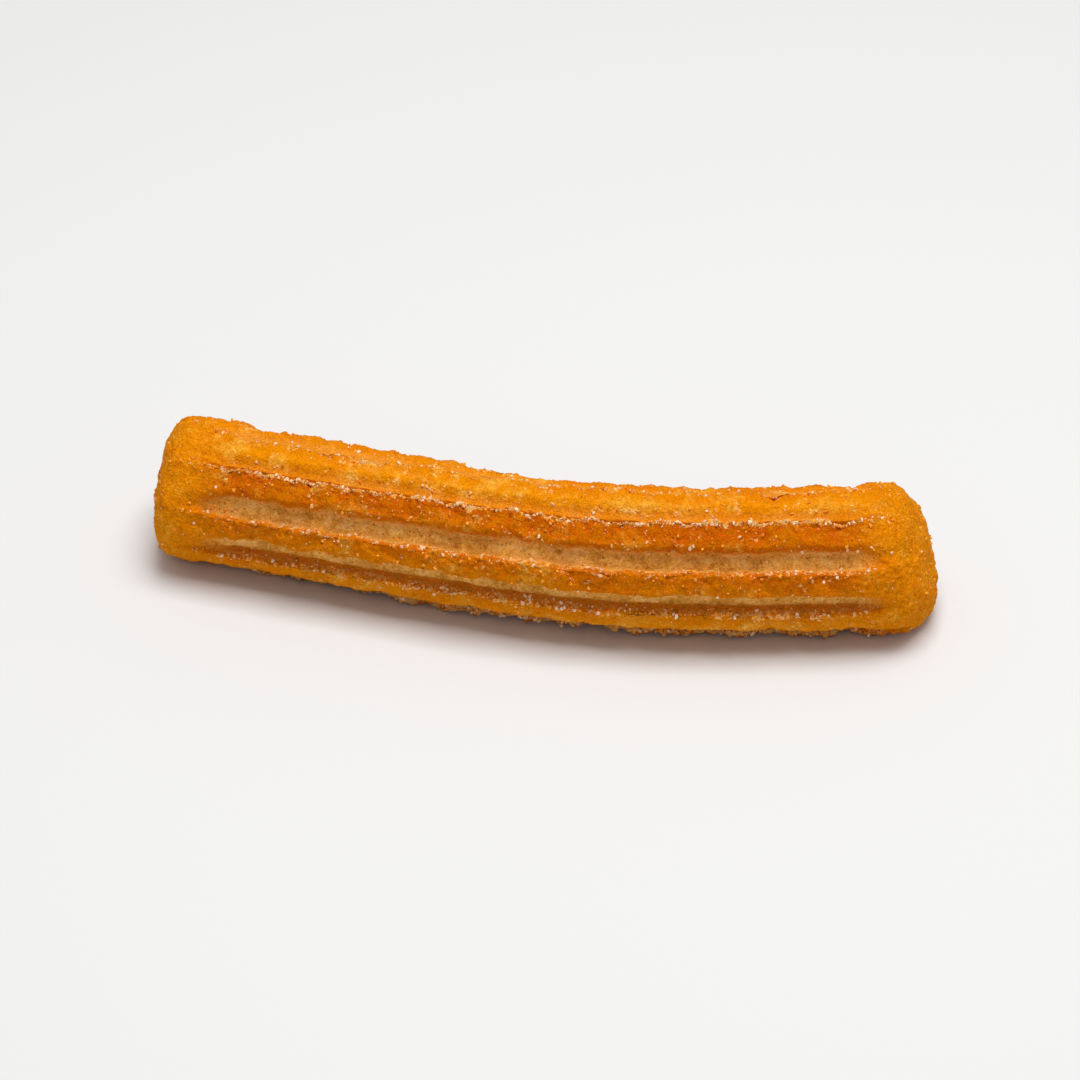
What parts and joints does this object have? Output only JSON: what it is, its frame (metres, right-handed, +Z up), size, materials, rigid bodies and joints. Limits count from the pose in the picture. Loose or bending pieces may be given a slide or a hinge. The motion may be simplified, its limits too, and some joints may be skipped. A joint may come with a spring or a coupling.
{
  "type": "churro",
  "caption": "Fried dough stick with nine broad lengthwise ridges, blunt closed ends and a slight bow, coated in sugar, lying on its flattened underside.",
  "frame": {"origin": "middle of the stick's outline, on the surface that it lies on", "axes": "+X along the stick from its left end to its right one, -Y towards its front, where the middle bows out, +Z up"},
  "size_m": [0.1318, 0.0362, 0.0242],
  "materials": {
    "fried_crust": "matt golden-orange fried crust, paler in its valleys",
    "sugar": "glinting sugar crystals stained by cinnamon",
    "cinnamon": "matt dark brown specks"
  },
  "bodies": {
    "root": {"churro": "fried_crust"}
  },
  "joints": []
}
